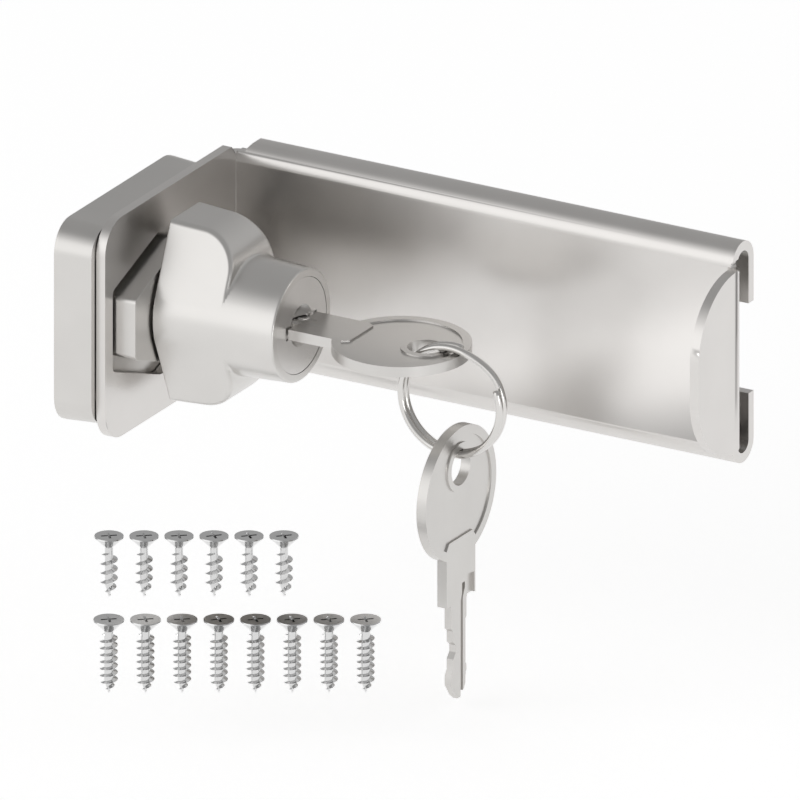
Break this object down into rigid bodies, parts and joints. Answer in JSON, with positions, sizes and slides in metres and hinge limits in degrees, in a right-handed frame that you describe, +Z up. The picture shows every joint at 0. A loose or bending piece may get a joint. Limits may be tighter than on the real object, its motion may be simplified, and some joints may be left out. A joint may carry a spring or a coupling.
{
  "type": "sliding patio door lock",
  "caption": "Keyed hasp lock for a sliding patio door: jamb housing with winged knob, folded sliding arm on a door rail, key, spare key on a split ring and fixing screws.",
  "frame": {"origin": "centre of the base housing's back face, on the knob's axis, where it is screwed to the jamb", "axes": "+X out of the jamb along the knob's axis and the arm, -Y towards the room, +Y towards the door leaf, +Z up"},
  "size_m": [0.1243, 0.0933, 0.0934],
  "materials": {
    "housing_nickel": "satin nickel plate on a zinc casting",
    "knob_nickel": "satin nickel plate on a zinc casting",
    "arm_nickel": "satin nickel plate on folded steel sheet",
    "key_nickel": "nickel-plated brass key blank",
    "plug_nickel": "satin nickel plate",
    "ring_steel": "polished spring steel wire",
    "screw_zinc": "bright zinc plate",
    "rail_steel": "plain zinc-plated steel",
    "inner_steel": "plain spring steel",
    "inner_brass": "turned brass",
    "washer_nylon": "natural nylon"
  },
  "bodies": {
    "base": {"base_housing": "housing_nickel", "thrust_washer": "washer_nylon", "spring_washer": "inner_steel", "short_screws": "screw_zinc", "long_screws": "screw_zinc"},
    "arm": {"sliding_arm": "arm_nickel"},
    "rail": {"mounting_rail": "rail_steel"},
    "knob": {"knob_body": "knob_nickel", "stop_washer": "inner_steel", "retaining_ring": "inner_steel", "bolt_keeper": "inner_brass", "cylinder_shell": "inner_brass", "cylinder_pin": "inner_steel"},
    "bolt": {"locking_bolt": "inner_steel"},
    "plug": {"lock_plug": "plug_nickel", "plug_clip": "inner_steel", "wafers": "inner_brass", "tail_crank": "inner_brass"},
    "key": {"door_key": "key_nickel"},
    "ring": {"split_ring": "ring_steel"},
    "spare": {"spare_key": "key_nickel"}
  },
  "joints": [
    {"name": "knob_turn", "type": "hinge", "parent": "base", "child": "knob", "pos_m": [0, 0, 0], "axis": [-1, 0, 0], "range_deg": [0, 90]},
    {"name": "arm_slide", "type": "slide", "parent": "base", "child": "arm", "axis": [1, 0, 0], "range_m": [0, 0.005]},
    {"name": "rail_slide", "type": "slide", "parent": "arm", "child": "rail", "axis": [-1, 0, 0], "range_m": [0, 0.07]},
    {"name": "plug_turn", "type": "hinge", "parent": "knob", "child": "plug", "pos_m": [0.03, 0, 0], "axis": [-1, 0, 0], "range_deg": [0, 90]},
    {"name": "bolt_slide", "type": "slide", "parent": "knob", "child": "bolt", "axis": [0, 0, 1], "range_m": [0, 0.00241]},
    {"name": "key_insert", "type": "slide", "parent": "plug", "child": "key", "axis": [1, 0, 0], "range_m": [0, 0.025]},
    {"name": "ring_swing", "type": "hinge", "parent": "key", "child": "ring", "pos_m": [0.07355, 0, 0.00108], "axis": [0, -1, 0], "range_deg": [0, 45]},
    {"name": "spare_key_swing", "type": "hinge", "parent": "ring", "child": "spare", "pos_m": [0.07683, 0, -0.02271], "axis": [1, 0, 0], "range_deg": [-80, 80]}
  ],
  "couplings": [
    {"joint": "bolt_slide", "follows": "plug_turn", "m_per_rad": 0.0015305}
  ]
}
